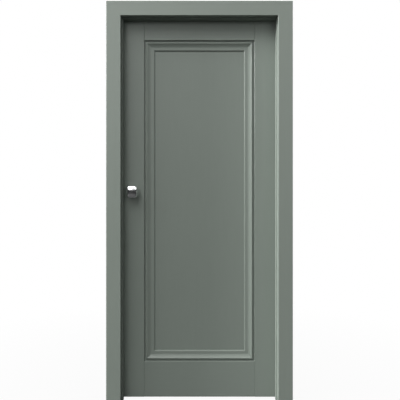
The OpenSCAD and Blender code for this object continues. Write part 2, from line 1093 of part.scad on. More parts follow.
// Cushion-shaped knob with a domed face, on a round neck with a square socket
module knob() {
    head_d = knob_reach - knob_back;
    half = min(knob_w, knob_h) / 2;
    dome_r = (half * half + knob_dome_drop * knob_dome_drop) / (2 * knob_dome_drop);
    mid = knob_back + head_d / 2;
    difference() {
        union() {
            intersection() {
                translate([0, 0, knob_back])
                    linear_extrude(head_d)
                        rounded_rect(knob_w, knob_h, knob_corner);
                translate([0, 0, mid])
                    facing_front()
                        linear_extrude(knob_h + 2 * past, center = true)
                            rounded_rect(knob_w, head_d, knob_edge);
                translate([0, 0, mid])
                    rotate([90, 0, 90])
                        linear_extrude(knob_w + 2 * past, center = true)
                            rounded_rect(knob_h, head_d, knob_edge);
                translate([0, 0, knob_reach - dome_r])
                    sphere(dome_r, $fn = 96);
            }
            translate([0, 0, rose_base_h / 2])
                cylinder(h = knob_back - rose_base_h / 2 + past, r = neck_r);
            translate([0, 0, knob_back - neck_r / 2])
                cylinder(h = neck_r / 2 + past, r1 = neck_r, r2 = neck_r * 1.6);
        }
        translate([0, 0, socket_end / 2 - past])
            cube([spindle_a + 2 * fit, spindle_a + 2 * fit, socket_end + 2 * past], center = true);
        translate([0, 0, grub_at])
            rotate([90, 0, 0])
                cylinder(h = knob_h, r = grub_r + fit);
    }
}

// Set screw in the underside of a knob's neck, pressed against the spindle
module grub_screw() {
    key_r = 1.2;
    length = neck_r - spindle_a / 2 - clear;
    translate([0, -spindle_a / 2, grub_at])
        rotate([90, 0, 0])
            difference() {
                cylinder(h = length, r = grub_r);
                translate([0, 0, length / 2])
                    cylinder(h = length, r = key_r, $fn = 6);
            }
}

module front_rose_base() {
    color(steel)
        on_front_face()
            rose_base(true);
}

module rear_rose_base() {
    color(steel)
        on_rear_face()
            rose_base(false);
}

module front_rose_cover() {
    color(chrome)
        on_front_face()
            rose_cover();
}

module rear_rose_cover() {
    color(chrome)
        on_rear_face()
            rose_cover();
}

module rose_screws() {
    color(steel)
        on_rear_face()
            rose_screw_places()
                translate([0, 0, rose_base_h])
                    csk_screw(leaf_t + 2 * rose_base_h - 2 * past);
}

module front_knob() {
    color(chrome)
        on_front_face()
            knob();
}

module rear_knob() {
    color(chrome)
        on_rear_face()
            knob();
}

module spindle() {
    length = leaf_t + 2 * spindle_end;
    color(steel)
        translate([knob_x, depth_y(s_mid), knob_z])
            cube([spindle_a, length, spindle_a], center = true);
}

module knob_grub_screws() {
    color(steel) {
        on_front_face()
            grub_screw();
        on_rear_face()
            grub_screw();
    }
}

left_jamb();
right_jamb();
head_jamb();
left_rebate_board();
right_rebate_board();
head_rebate_board();
left_front_casing();
right_front_casing();
head_front_casing();
left_rear_casing();
right_rear_casing();
head_rear_casing();
left_seal();
right_seal();
head_seal();
corner_dowels();
strike_plate();
strike_screws();
hinge_frame_plate_lower();
hinge_frame_plate_middle();
hinge_frame_plate_upper();
hinge_pin_lower();
hinge_pin_middle();
hinge_pin_upper();
hinge_frame_screws();
lock_stile();
hinge_stile();
top_rail();
bottom_rail();
panel();
front_moulding_left();
front_moulding_right();
front_moulding_top();
front_moulding_bottom();
rear_moulding_left();
rear_moulding_right();
rear_moulding_top();
rear_moulding_bottom();
rail_dowels();
hinge_leaf_plate_lower();
hinge_leaf_plate_middle();
hinge_leaf_plate_upper();
hinge_leaf_screws();
lock_case();
lock_cover();
lock_faceplate();
faceplate_screws();
front_rose_base();
rear_rose_base();
front_rose_cover();
rear_rose_cover();
rose_screws();
latch_spring();
front_knob();
rear_knob();
spindle();
follower();
knob_grub_screws();
latch_bolt();
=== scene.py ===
import math

import bmesh
import bpy
from mathutils import Matrix, Vector


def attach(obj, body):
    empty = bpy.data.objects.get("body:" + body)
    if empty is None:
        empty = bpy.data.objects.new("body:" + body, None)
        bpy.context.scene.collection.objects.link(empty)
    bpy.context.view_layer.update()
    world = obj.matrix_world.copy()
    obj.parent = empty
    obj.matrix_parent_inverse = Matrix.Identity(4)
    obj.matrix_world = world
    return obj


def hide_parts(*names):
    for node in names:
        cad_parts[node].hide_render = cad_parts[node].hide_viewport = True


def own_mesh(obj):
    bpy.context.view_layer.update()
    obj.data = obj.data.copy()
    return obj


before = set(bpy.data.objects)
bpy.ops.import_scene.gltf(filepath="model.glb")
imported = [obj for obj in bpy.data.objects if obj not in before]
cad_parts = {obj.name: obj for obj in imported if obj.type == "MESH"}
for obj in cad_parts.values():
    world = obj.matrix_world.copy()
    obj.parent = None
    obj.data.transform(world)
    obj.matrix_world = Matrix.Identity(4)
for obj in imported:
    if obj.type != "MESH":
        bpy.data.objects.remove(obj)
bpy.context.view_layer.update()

MM = 0.001

# Places of the door's parts, in metres, in the frame of the solids
HALF_DEPTH = 0.0925
JAMB_BACK = 0.437
HEAD_BACK = 2.037
FRONT_CASING_BACK = -0.0785
REAR_CASING_BACK = 0.0305
LEAF_FRONT = -0.0095
LEAF_REAR = 0.0305
LEAF_MIDDLE = 0.0105
KNOB_X = -0.352
KNOB_Z = 1.097
LATCH_Z = 1.125
HINGE_X = 0.4135
HINGE_HEIGHTS = (0.260, 1.011, 1.762)
SPRING_START = -0.3466
SPRING_END = -0.3282


# Node trees, written as plain expressions

class Wire:
    """An output of a node, so that sums on it can be written with the usual signs."""

    def __init__(self, nodes, socket):
        self.nodes = nodes
        self.socket = socket

    def _sum(self, operation, first, second):
        return self.nodes.add("ShaderNodeMath", {"operation": operation}, {0: first, 1: second})

    def __add__(self, other):
        return self._sum("ADD", self, other)

    def __radd__(self, other):
        return self._sum("ADD", other, self)

    def __sub__(self, other):
        return self._sum("SUBTRACT", self, other)

    def __mul__(self, other):
        return self._sum("MULTIPLY", self, other)

    def __lt__(self, other):
        return self._sum("LESS_THAN", self, other)

    def __gt__(self, other):
        return self._sum("GREATER_THAN", self, other)

    def __pow__(self, other):
        return self._sum("POWER", self, other)

    def __abs__(self):
        return self.nodes.add("ShaderNodeMath", {"operation": "ABSOLUTE"}, {0: self})

    def most(self, other):
        return self._sum("MAXIMUM", self, other)


class Nodes:
    """A node tree of a material, the world or a geometry modifier."""

    def __init__(self, tree):
        self.tree = tree
        tree.nodes.clear()

    def add(self, kind, settings=None, sockets=None, out=0):
        node = self.tree.nodes.new(kind)
        for key, value in (settings or {}).items():
            setattr(node, key, value)
        for key, value in (sockets or {}).items():
            if isinstance(value, Wire):
                self.tree.links.new(value.socket, node.inputs[key])
            else:
                node.inputs[key].default_value = value
        return Wire(self, node.outputs[out]) if len(node.outputs) else None

    def mix(self, factor, first, second):
        """Mixes two colours."""
        colours = [c if isinstance(c, Wire) else (*c, 1.0) for c in (first, second)]
        return self.add("ShaderNodeMix", {"data_type": "RGBA"},
                        {0: factor, 6: colours[0], 7: colours[1]}, out=2)

    def noise(self, place, pattern):
        """Noise of a pattern that is given as scale, detail and roughness."""
        scale, detail, roughness = pattern
        return self.add("ShaderNodeTexNoise", None,
                        {"Vector": place, "Scale": scale, "Detail": detail, "Roughness": roughness})

    def stretched(self, place, scale):
        """Places scaled along the axes, so that a pattern on them runs in lines."""
        return self.add("ShaderNodeMapping", None, {"Vector": place, "Scale": scale})


def material_nodes(name):
    material = bpy.data.materials.new(name)
    material.use_nodes = True
    return material, Nodes(material.node_tree)


def close_material(nodes, **sockets):
    """Feeds a Principled shader, where a name's underscores stand for spaces."""
    named = {key.replace("_", " "): value for key, value in sockets.items()}
    shader = nodes.add("ShaderNodeBsdfPrincipled", None, named)
    nodes.add("ShaderNodeOutputMaterial", None, {"Surface": shader})


def relief(nodes, height, strength, distance):
    return nodes.add("ShaderNodeBump", None,
                     {"Height": height, "Strength": strength, "Distance": distance})


# Finishes

FRAME_PAINT = (0.200, 0.230, 0.203)
LEAF_PAINT = (0.199, 0.230, 0.203)
PAINT_SPREAD = 0.07
FIBREBOARD_DARK = (0.20, 0.125, 0.065)
FIBREBOARD_PALE = (0.36, 0.245, 0.14)
ALONG_X = (5.0, 70.0, 70.0)
ALONG_Z = (70.0, 70.0, 5.0)
PLANE_SKIN = 0.0004
FACING_LEAST = 0.9

# Noise patterns as scale, detail and roughness
PAINT_MARKS = (1.6, 5.0, 0.62)
PAINT_CLOUDS = (2.4, 3.0, 0.55)
PAINT_PEEL = (420.0, 2.0, 0.5)
PAINT_FLOW = (95.0, 2.0, 0.45)
BOARD_FIBRES = (9.0, 6.0, 0.7)
BOARD_SPECKS = (700.0, 3.0, 0.6)
STEEL_LINES = (22.0, 6.0, 0.7)
STEEL_CLOUDS = (38.0, 4.0, 0.6)
STEEL_PITS = (900.0, 2.0, 0.5)
CHROME_SMEARS = (55.0, 4.0, 0.62)
CHROME_WIPING = (60.0, 4.0, 0.7)
CHROME_RIPPLE = (26.0, 1.0, 0.4)
BEECH_GRAIN = (3.0, 6.0, 0.6)
BEECH_FLECKS = (2.0, 3.0, 0.5)
RUBBER_DRAW = (1.0, 4.0, 0.6)
RUBBER_BLOOM = (60.0, 4.0, 0.6)

# Stretches of those that run in lines
CHROME_WIPING_WAY = (1.0, 6.0, 14.0)
BEECH_GRAIN_WAY = (9.0, 150.0, 150.0)
BEECH_FLECKS_WAY = (90.0, 700.0, 700.0)
RUBBER_DRAW_WAY = (900.0, 900.0, 12.0)

# Colours of the finishes, and glosses as roughness
CHROME_DULL = (0.83, 0.84, 0.85)
CHROME_CLEAR = (0.90, 0.91, 0.915)
BEECH_DARK = (0.46, 0.29, 0.15)
BEECH_PALE = (0.68, 0.48, 0.28)
BEECH_RAY = (0.30, 0.17, 0.08)
RUBBER_DARK = (0.022, 0.024, 0.023)
RUBBER_DUSTY = (0.065, 0.068, 0.066)
ROLLED_STEEL = (0.62, 0.62, 0.63)
LOCK_STEEL = (0.56, 0.565, 0.58)
SCREW_STEEL = (0.66, 0.66, 0.65)
STEEL_SHADE = 0.72
PAINT_GLOSS = 0.40
PAINT_IOR = 1.46
BARE_GLOSS = 0.45
CHROME_GLOSS = 0.05
BEECH_GLOSS = 0.55
RUBBER_GLOSS = 0.55
NOISE_MIDDLE = 0.5
SPECK_LEVEL = 0.36


def axes_of(nodes, vector):
    split = nodes.add("ShaderNodeSeparateXYZ", None, {0: vector})
    return [Wire(nodes, socket) for socket in split.socket.node.outputs]


def on_planes(nodes, place, planes):
    """1 on the faces that lie in the planes and look the given way along the axis, 0 elsewhere."""
    spots = axes_of(nodes, place)
    facings = axes_of(nodes, nodes.add("ShaderNodeNewGeometry", out="True Normal"))
    mask = None
    for axis, position, way in planes:
        level = abs(spots[axis] - position) < PLANE_SKIN
        square = FACING_LEAST < facings[axis] * way
        mask = level * square if mask is None else mask.most(level * square)
    return mask


def satin_paint(name, paint, along, bare_planes=()):
    """Sprayed satin paint with a fine orange peel and faint marks along the member's length."""
    material, nodes = material_nodes(name)
    deep = tuple(c * (1 - PAINT_SPREAD) for c in paint)
    pale = tuple(c * (1 + PAINT_SPREAD) for c in paint)
    place = nodes.add("ShaderNodeTexCoord", out="Object")
    marks = nodes.noise(nodes.stretched(place, along), PAINT_MARKS)
    clouds = nodes.noise(place, PAINT_CLOUDS)
    peel = nodes.noise(place, PAINT_PEEL)
    flow = nodes.noise(place, PAINT_FLOW)
    tone = marks * 0.55 + clouds * 0.45
    colour = nodes.mix(tone, deep, pale)
    colour = nodes.mix((peel < SPECK_LEVEL) * 0.12, colour, deep)
    gloss = PAINT_GLOSS + (marks - NOISE_MIDDLE) * 0.16 + (flow - NOISE_MIDDLE) * 0.14
    height = peel * 0.5 + flow + marks * 0.35
    if bare_planes:
        bare = on_planes(nodes, place, bare_planes)
        fibres = nodes.noise(nodes.stretched(place, along), BOARD_FIBRES)
        specks = nodes.noise(place, BOARD_SPECKS)
        board = nodes.mix(fibres * 0.6 + specks * 0.4, FIBREBOARD_DARK, FIBREBOARD_PALE)
        colour = nodes.mix(bare, colour, board)
        gloss = gloss + bare * BARE_GLOSS
        height = height + bare * specks * 2.0
    close_material(nodes, Base_Color=colour, Roughness=gloss, IOR=PAINT_IOR,
                   Normal=relief(nodes, height, 0.16, 0.0004))
    return material


def brushed_steel(name, along, tint=ROLLED_STEEL, rough=0.30):
    """Rolled steel with fine brush lines, cloudy handling marks and small pits."""
    material, nodes = material_nodes(name)
    place = nodes.add("ShaderNodeTexCoord", out="Object")
    lines = nodes.noise(nodes.stretched(place, along), STEEL_LINES)
    clouds = nodes.noise(place, STEEL_CLOUDS)
    pits = nodes.noise(place, STEEL_PITS)
    dark = tuple(STEEL_SHADE * c for c in tint)
    colour = nodes.mix(lines * 0.6 + clouds * 0.4, dark, tint)
    gloss = rough - 0.10 + lines * 0.14 + clouds * 0.10
    height = lines + pits * 0.3
    close_material(nodes, Base_Color=colour, Metallic=1.0, Roughness=gloss,
                   Normal=relief(nodes, height, 0.20, 0.00012))
    return material


def polished_chrome(name):
    """Bright plating with the faint wiping marks and smears of a handled knob."""
    material, nodes = material_nodes(name)
    place = nodes.add("ShaderNodeTexCoord", out="Object")
    smears = nodes.noise(place, CHROME_SMEARS)
    wiping = nodes.noise(nodes.stretched(place, CHROME_WIPING_WAY), CHROME_WIPING)
    ripple = nodes.noise(place, CHROME_RIPPLE)
    colour = nodes.mix(smears, CHROME_DULL, CHROME_CLEAR)
    gloss = CHROME_GLOSS + (smears ** 3.0) * 0.16 + wiping * 0.035
    close_material(nodes, Base_Color=colour, Metallic=1.0, Roughness=gloss,
                   Normal=relief(nodes, ripple + wiping * 0.05, 0.05, 0.0003))
    return material


def turned_beech(name):
    """Straight pale beech with short dark ray flecks."""
    material, nodes = material_nodes(name)
    place = nodes.add("ShaderNodeTexCoord", out="Object")
    grain = nodes.noise(nodes.stretched(place, BEECH_GRAIN_WAY), BEECH_GRAIN)
    flecks = nodes.noise(nodes.stretched(place, BEECH_FLECKS_WAY), BEECH_FLECKS)
    colour = nodes.mix(grain, BEECH_DARK, BEECH_PALE)
    colour = nodes.mix((flecks < SPECK_LEVEL) * 0.6, colour, BEECH_RAY)
    close_material(nodes, Base_Color=colour, Roughness=BEECH_GLOSS + grain * 0.2,
                   Normal=relief(nodes, grain + flecks * 0.5, 0.3, 0.0004))
    return material


def seal_rubber(name):
    """Extruded dark rubber with a dusty bloom and fine draw lines."""
    material, nodes = material_nodes(name)
    place = nodes.add("ShaderNodeTexCoord", out="Object")
    draw = nodes.noise(nodes.stretched(place, RUBBER_DRAW_WAY), RUBBER_DRAW)
    bloom = nodes.noise(place, RUBBER_BLOOM)
    colour = nodes.mix(bloom ** 2.0, RUBBER_DARK, RUBBER_DUSTY)
    close_material(nodes, Base_Color=colour, Roughness=RUBBER_GLOSS + bloom * 0.3,
                   Normal=relief(nodes, draw + bloom * 0.5, 0.25, 0.0003))
    return material


# Faces that the wall hides, which stay unpainted: axis, position and the way that they look
WALL_SIDES = [(1, FRONT_CASING_BACK, 1.0), (1, REAR_CASING_BACK, -1.0)]
LEFT_FRAME_BARE = [(0, -JAMB_BACK, -1.0)] + WALL_SIDES
RIGHT_FRAME_BARE = [(0, JAMB_BACK, 1.0)] + WALL_SIDES
HEAD_FRAME_BARE = [(2, HEAD_BACK, 1.0)] + WALL_SIDES

left_frame_paint = satin_paint("left_frame_paint", FRAME_PAINT, ALONG_Z, LEFT_FRAME_BARE)
right_frame_paint = satin_paint("right_frame_paint", FRAME_PAINT, ALONG_Z, RIGHT_FRAME_BARE)
head_frame_paint = satin_paint("head_frame_paint", FRAME_PAINT, ALONG_X, HEAD_FRAME_BARE)
upright_paint = satin_paint("upright_paint", LEAF_PAINT, ALONG_Z)
rail_paint = satin_paint("rail_paint", LEAF_PAINT, ALONG_X)
upright_steel = brushed_steel("upright_brushed_steel", (60.0, 60.0, 1.5))
lock_steel = brushed_steel("lock_steel", (1.5, 60.0, 60.0), LOCK_STEEL, 0.36)
screw_steel = brushed_steel("screw_steel", (25.0, 25.0, 25.0), SCREW_STEEL, 0.28)
bright_chrome = polished_chrome("bright_chrome")
beech = turned_beech("turned_beech")
rubber = seal_rubber("seal_rubber")

NODE_FINISH = {
    left_frame_paint: ["left_jamb", "left_rebate_board", "left_front_casing", "left_rear_casing"],
    right_frame_paint: ["right_jamb", "right_rebate_board", "right_front_casing",
                        "right_rear_casing"],
    head_frame_paint: ["head_jamb", "head_rebate_board", "head_front_casing", "head_rear_casing"],
    upright_paint: ["lock_stile", "hinge_stile", "panel",
                    "front_moulding_left", "front_moulding_right",
                    "rear_moulding_left", "rear_moulding_right"],
    rail_paint: ["top_rail", "bottom_rail", "front_moulding_top", "front_moulding_bottom",
                 "rear_moulding_top", "rear_moulding_bottom"],
    rubber: ["left_seal", "right_seal", "head_seal"],
    beech: ["corner_dowels", "rail_dowels"],
    upright_steel: ["strike_plate", "lock_faceplate"] + [
        hinge_piece + level
        for hinge_piece in ("hinge_frame_plate", "hinge_leaf_plate", "hinge_pin")
        for level in ("_lower", "_middle", "_upper")],
    lock_steel: ["lock_case", "lock_cover", "front_rose_base", "rear_rose_base",
                 "spindle", "follower", "latch_bolt"],
    screw_steel: ["strike_screws", "hinge_frame_screws", "hinge_leaf_screws", "faceplate_screws",
                  "rose_screws", "knob_grub_screws", "latch_spring"],
    bright_chrome: ["front_rose_cover", "rear_rose_cover", "front_knob", "rear_knob"],
}


for finish, names in NODE_FINISH.items():
    for node_name in names:
        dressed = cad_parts[node_name].data
        dressed.materials.clear()
        dressed.materials.append(finish)


# Knobs, lofted as one smooth skin from the neck to the domed face

KNOB_HALF_W = 28.5 * MM
KNOB_HALF_H = 32.5 * MM
KNOB_REACH = 62 * MM
KNOB_BACK = 28 * MM
NECK_R = 10.5 * MM
NECK_START = 3.2 * MM
GRUB_AT = 17 * MM
GRUB_BORE = 2.5 * MM
RING_POINTS = 96
SIDE_ROUND = 4.4
SECTION_ROUND = 3.0
CIRCLE = 2.0
FLARE_END = 0.60
NECK_STEP = 2.4 * MM
NECK_STEPS = 7
FLARE_STEPS = 9
SECTION_STEPS = 44
CALM_SHARE = 0.35
MERGE_GAP = 1e-6
BORE_SIDES = 32
KNOB_SHARP = math.radians(40)


def knob_rings():
    """Rings as (out from the leaf, half width, half height, squareness), from the neck outwards."""
    middle = (KNOB_BACK + KNOB_REACH) / 2
    half = (KNOB_REACH - KNOB_BACK) / 2
    rings = [(NECK_START + k * NECK_STEP, NECK_R, NECK_R, CIRCLE) for k in range(NECK_STEPS + 1)]
    start_angle = -math.acos(FLARE_END ** (SECTION_ROUND / 2))
    first = middle + half * -abs(math.sin(start_angle)) ** (2 / SECTION_ROUND)
    neck_end = rings[-1][0]
    for k in range(1, FLARE_STEPS + 1):
        t = k / (FLARE_STEPS + 1)
        out = neck_end + (first - neck_end) * math.sin(t * math.pi / 2)
        grow = 1 - math.cos(t * math.pi / 2)
        rings.append((out,
                      NECK_R + (KNOB_HALF_W * FLARE_END - NECK_R) * grow,
                      NECK_R + (KNOB_HALF_H * FLARE_END - NECK_R) * grow,
                      CIRCLE + (SIDE_ROUND - CIRCLE) * grow))
    for k in range(SECTION_STEPS):
        angle = start_angle + (math.pi / 2 - start_angle) * k / SECTION_STEPS
        share = math.cos(angle) ** (2 / SECTION_ROUND)
        rise = math.copysign(abs(math.sin(angle)) ** (2 / SECTION_ROUND), angle)
        calm = min(1.0, share / CALM_SHARE)
        rings.append((middle + half * rise, KNOB_HALF_W * share, KNOB_HALF_H * share,
                      CIRCLE + (SIDE_ROUND - CIRCLE) * calm))
    return rings


def ring_point(angle, half_w, half_h, square):
    """A point on a ring between an ellipse and a rounded rectangle, by its squareness."""
    c, s = math.cos(angle), math.sin(angle)
    return (math.copysign(abs(c) ** (2 / square), c) * half_w,
            math.copysign(abs(s) ** (2 / square), s) * half_h)


def mesh_object(name, bm, material):
    """Puts a finished mesh in the scene, with its normals outwards."""
    bmesh.ops.remove_doubles(bm, verts=bm.verts, dist=MERGE_GAP)
    bmesh.ops.recalc_face_normals(bm, faces=bm.faces)
    for face in bm.faces:
        face.smooth = True
    mesh = bpy.data.meshes.new(name)
    bm.to_mesh(mesh)
    bm.free()
    mesh.materials.append(material)
    obj = bpy.data.objects.new(name, mesh)
    bpy.context.scene.collection.objects.link(obj)
    return obj


def lofted(rings, close_last):
    """Skins rings of points, flat at the first and drawn to a point at the last."""
    bm = bmesh.new()
    loops = [[bm.verts.new(p) for p in ring] for ring in rings]
    count = len(loops[0])
    for low, high in zip(loops, loops[1:]):
        for k in range(count):
            bm.faces.new((low[k], low[(k + 1) % count], high[(k + 1) % count], high[k]))
    bm.faces.new(list(reversed(loops[0])))
    tip = bm.verts.new(close_last)
    for k in range(count):
        bm.faces.new((loops[-1][k], loops[-1][(k + 1) % count], tip))
    return bm


def baked(obj):
    """Turns an object's modifiers into plain mesh."""
    graph = bpy.context.evaluated_depsgraph_get()
    mesh = bpy.data.meshes.new_from_object(obj.evaluated_get(graph), depsgraph=graph)
    obj.modifiers.clear()
    obj.data = mesh
    return obj


def bored(obj, cutter):
    """Cuts a hole with another object, which is then removed."""
    cut = obj.modifiers.new("bore", "BOOLEAN")
    cut.operation = "DIFFERENCE"
    cut.solver = "EXACT"
    cut.object = cutter
    bpy.context.view_layer.update()
    baked(obj)
    bpy.data.objects.remove(cutter)
    obj.data.set_sharp_from_angle(angle=KNOB_SHARP)
    return obj


def make_knob(name, face, outwards):
    """A knob on the leaf's face at y = face, standing out towards outwards (-1 front, 1 rear)."""
    def at(out, x, z):
        return Vector((KNOB_X + x, face + outwards * out, KNOB_Z + z))

    rings = []
    for out, half_w, half_h, square in knob_rings():
        points = [ring_point(2 * math.pi * k / RING_POINTS, half_w, half_h, square)
                  for k in range(RING_POINTS)]
        rings.append([at(out, x, z) for x, z in points])
    knob = mesh_object(name, lofted(rings, at(KNOB_REACH, 0, 0)), bright_chrome)
    drill = bmesh.new()
    bmesh.ops.create_cone(drill, cap_ends=True, segments=BORE_SIDES, radius1=GRUB_BORE,
                          radius2=GRUB_BORE, depth=NECK_R,
                          matrix=Matrix.Translation(at(GRUB_AT, 0, -NECK_R)))
    return bored(knob, mesh_object(name + "_drill", drill, bright_chrome))


for knob_name, knob_node, face, outwards in (("front_knob_polished", "front_knob", LEAF_FRONT, -1),
                                             ("rear_knob_polished", "rear_knob", LEAF_REAR, 1)):
    knob_piece = make_knob(knob_name, face, outwards)
    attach(knob_piece, "knob_set")
    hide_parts(knob_node)


# Threaded screws and the latch's coil, grown from node trees with named sizes

HEAD_SIDES = 40
SHANK_SIDES = 24
TIP_R = 0.12 * MM
RECESS_TURNS = (math.radians(45), math.radians(135))
THREAD_SHARE = 0.8
THREAD_STEPS = 20
THREAD_SIDES = 3
COIL_STEPS = 40
WIRE_SIDES = 12
GROWN_MERGE_GAP = 1e-7
GROWN_SHARP = math.radians(35)


def geometry_tree(name, sizes):
    """An empty geometry tree with a mesh going in and out, and a named input for each size."""
    tree = bpy.data.node_groups.new(name, "GeometryNodeTree")
    tree.interface.new_socket("Places", in_out="INPUT", socket_type="NodeSocketGeometry")
    tree.interface.new_socket("Grown", in_out="OUTPUT", socket_type="NodeSocketGeometry")
    for size in sizes:
        tree.interface.new_socket(size, in_out="INPUT", socket_type="NodeSocketFloat")
    nodes = Nodes(tree)
    given = nodes.add("NodeGroupInput").socket.node.outputs
    return tree, nodes, {socket.name: Wire(nodes, socket) for socket in given if socket.name}


def along_z(nodes, height):
    return nodes.add("ShaderNodeCombineXYZ", None, {2: height})


def moved(nodes, geometry, height):
    return nodes.add("GeometryNodeTransform", None,
                     {"Geometry": geometry, "Translation": along_z(nodes, height)})


def joined(nodes, *parts):
    join = nodes.add("GeometryNodeJoinGeometry")
    for part in parts:
        nodes.tree.links.new(part.socket, join.socket.node.inputs[0])
    return join


def close_tree(nodes, geometry, material):
    real = nodes.add("GeometryNodeRealizeInstances", None, {"Geometry": geometry})
    coated = nodes.add("GeometryNodeSetMaterial", None, {"Geometry": real, "Material": material})
    nodes.add("NodeGroupOutput", None, {0: coated})


def screw_tree():
    """Countersunk screws with a cross recess and a coiled thread, heads flush with their places."""
    tree, nodes, size = geometry_tree("countersunk_screws", (
        "Length", "Head radius", "Core radius", "Thread radius", "Pitch", "Recess width",
        "Recess length", "Recess depth"))
    head_h = size["Head radius"] - size["Core radius"]
    head = nodes.add("GeometryNodeMeshCone", None,
                     {"Vertices": HEAD_SIDES, "Radius Top": size["Head radius"],
                      "Radius Bottom": size["Core radius"], "Depth": head_h})
    head = moved(nodes, head, head_h * -1.0)
    blade = nodes.add("ShaderNodeCombineXYZ", None,
                      {0: size["Recess length"], 1: size["Recess width"],
                       2: size["Recess depth"] * 2.0})
    bar = nodes.add("GeometryNodeMeshCube", None, {"Size": blade})
    first, second = (nodes.add("GeometryNodeTransform", None,
                               {"Geometry": bar, "Rotation": (0, 0, turn)})
                     for turn in RECESS_TURNS)
    cut = nodes.add("GeometryNodeMeshBoolean", {"operation": "DIFFERENCE"}, {"Mesh 1": head})
    for cutter in (first, second):
        nodes.tree.links.new(cutter.socket, cut.socket.node.inputs["Mesh 2"])
    shank_l = size["Length"] - head_h - size["Thread radius"] * 2.0
    shank = nodes.add("GeometryNodeMeshCylinder", None,
                      {"Vertices": SHANK_SIDES, "Radius": size["Core radius"], "Depth": shank_l})
    shank = moved(nodes, shank, (head_h + shank_l * 0.5) * -1.0)
    tip = nodes.add("GeometryNodeMeshCone", None,
                    {"Vertices": SHANK_SIDES, "Radius Top": size["Core radius"],
                     "Radius Bottom": TIP_R, "Depth": size["Thread radius"] * 2.0})
    tip = moved(nodes, tip, size["Length"] * -1.0)
    crest = size["Thread radius"] - size["Core radius"]
    thread_l = shank_l * THREAD_SHARE
    turns = nodes.add("ShaderNodeMath", {"operation": "DIVIDE"}, {0: thread_l, 1: size["Pitch"]})
    helix = nodes.add("GeometryNodeCurveSpiral", None,
                      {"Resolution": THREAD_STEPS, "Rotations": turns,
                       "Start Radius": size["Core radius"], "End Radius": size["Core radius"],
                       "Height": thread_l})
    ridge = nodes.add("GeometryNodeCurvePrimitiveCircle", {"mode": "RADIUS"},
                      {"Resolution": THREAD_SIDES, "Radius": crest})
    thread = nodes.add("GeometryNodeCurveToMesh", None,
                       {"Curve": helix, "Profile Curve": ridge, "Fill Caps": True})
    thread = moved(nodes, thread, (head_h + shank_l) * -1.0)
    screw = joined(nodes, cut, shank, tip, thread)
    facing = nodes.add("GeometryNodeInputNamedAttribute", {"data_type": "FLOAT_VECTOR"},
                       {"Name": "facing"})
    turn = nodes.add("FunctionNodeAlignRotationToVector", {"axis": "Z"}, {"Vector": facing})
    screws = nodes.add("GeometryNodeInstanceOnPoints", None,
                       {"Points": size["Places"], "Instance": screw, "Rotation": turn})
    close_tree(nodes, screws, screw_steel)
    return tree


def coil_tree():
    """A wire coiled along z from the origin."""
    tree, nodes, size = geometry_tree("wire_coil",
                                      ("Coil radius", "Wire radius", "Turns", "Height"))
    helix = nodes.add("GeometryNodeCurveSpiral", None,
                      {"Resolution": COIL_STEPS, "Rotations": size["Turns"],
                       "Start Radius": size["Coil radius"], "End Radius": size["Coil radius"],
                       "Height": size["Height"]})
    wire = nodes.add("GeometryNodeCurvePrimitiveCircle", {"mode": "RADIUS"},
                     {"Resolution": WIRE_SIDES, "Radius": size["Wire radius"]})
    coil = nodes.add("GeometryNodeCurveToMesh", None,
                     {"Curve": helix, "Profile Curve": wire, "Fill Caps": True})
    close_tree(nodes, coil, screw_steel)
    return tree


def grown(name, tree, sizes, places, facings, place=Matrix()):
    """Grows a tree on points and returns the result as a plain mesh object."""
    mesh = bpy.data.meshes.new(name)
    mesh.from_pydata(places, [], [])
    facing = mesh.attributes.new("facing", "FLOAT_VECTOR", "POINT")
    for item, direction in zip(facing.data, facings):
        item.vector = direction
    obj = bpy.data.objects.new(name, mesh)
    bpy.context.scene.collection.objects.link(obj)
    modifier = obj.modifiers.new("grow", "NODES")
    modifier.node_group = tree
    for socket in tree.interface.items_tree:
        if socket.in_out == "INPUT" and socket.name in sizes:
            modifier[socket.identifier] = sizes[socket.name]
    bpy.context.view_layer.update()
    baked(obj)
    bm = bmesh.new()
    bm.from_mesh(obj.data)
    bmesh.ops.remove_doubles(bm, verts=bm.verts, dist=GROWN_MERGE_GAP)
    bmesh.ops.transform(bm, matrix=place, verts=bm.verts)
    bmesh.ops.recalc_face_normals(bm, faces=bm.faces)
    for polygon in bm.faces:
        polygon.smooth = True
    bm.to_mesh(obj.data)
    bm.free()
    obj.data.set_sharp_from_angle(angle=GROWN_SHARP)
    return obj


SCREW_SIZES = {"Length": 18 * MM, "Head radius": 3.8 * MM, "Core radius": 1.55 * MM,
               "Thread radius": 1.98 * MM, "Pitch": 1.7 * MM, "Recess width": 1.0 * MM,
               "Recess length": 4.4 * MM, "Recess depth": 1.2 * MM}
HINGE_FACE_GAP = 0.2 * MM
HINGE_SCREWS = ((16.3 * MM, 38 * MM), (6.3 * MM, 14 * MM),
                (6.3 * MM, -14 * MM), (16.3 * MM, -38 * MM))
STRIKE_FACE = -0.415
STRIKE_SCREW_HALF = 45 * MM
LOCK_EDGE = -0.412
PLATE_MIDDLE = 1.106
PLATE_SCREW_HALF = 73 * MM


def screw_places(hinge_face, hinge_facing, plate_x, plate_facing, plate_mid, plate_half):
    """Screws of the three hinges and of one plate, as places and the ways they face."""
    hinges = [(hinge_face, y, z + up) for z in HINGE_HEIGHTS for y, up in HINGE_SCREWS]
    plate = [(plate_x, LEAF_MIDDLE, plate_mid + side * plate_half) for side in (-1, 1)]
    facings = [(hinge_facing, 0, 0)] * len(hinges) + [(plate_facing, 0, 0)] * len(plate)
    return hinges + plate, facings


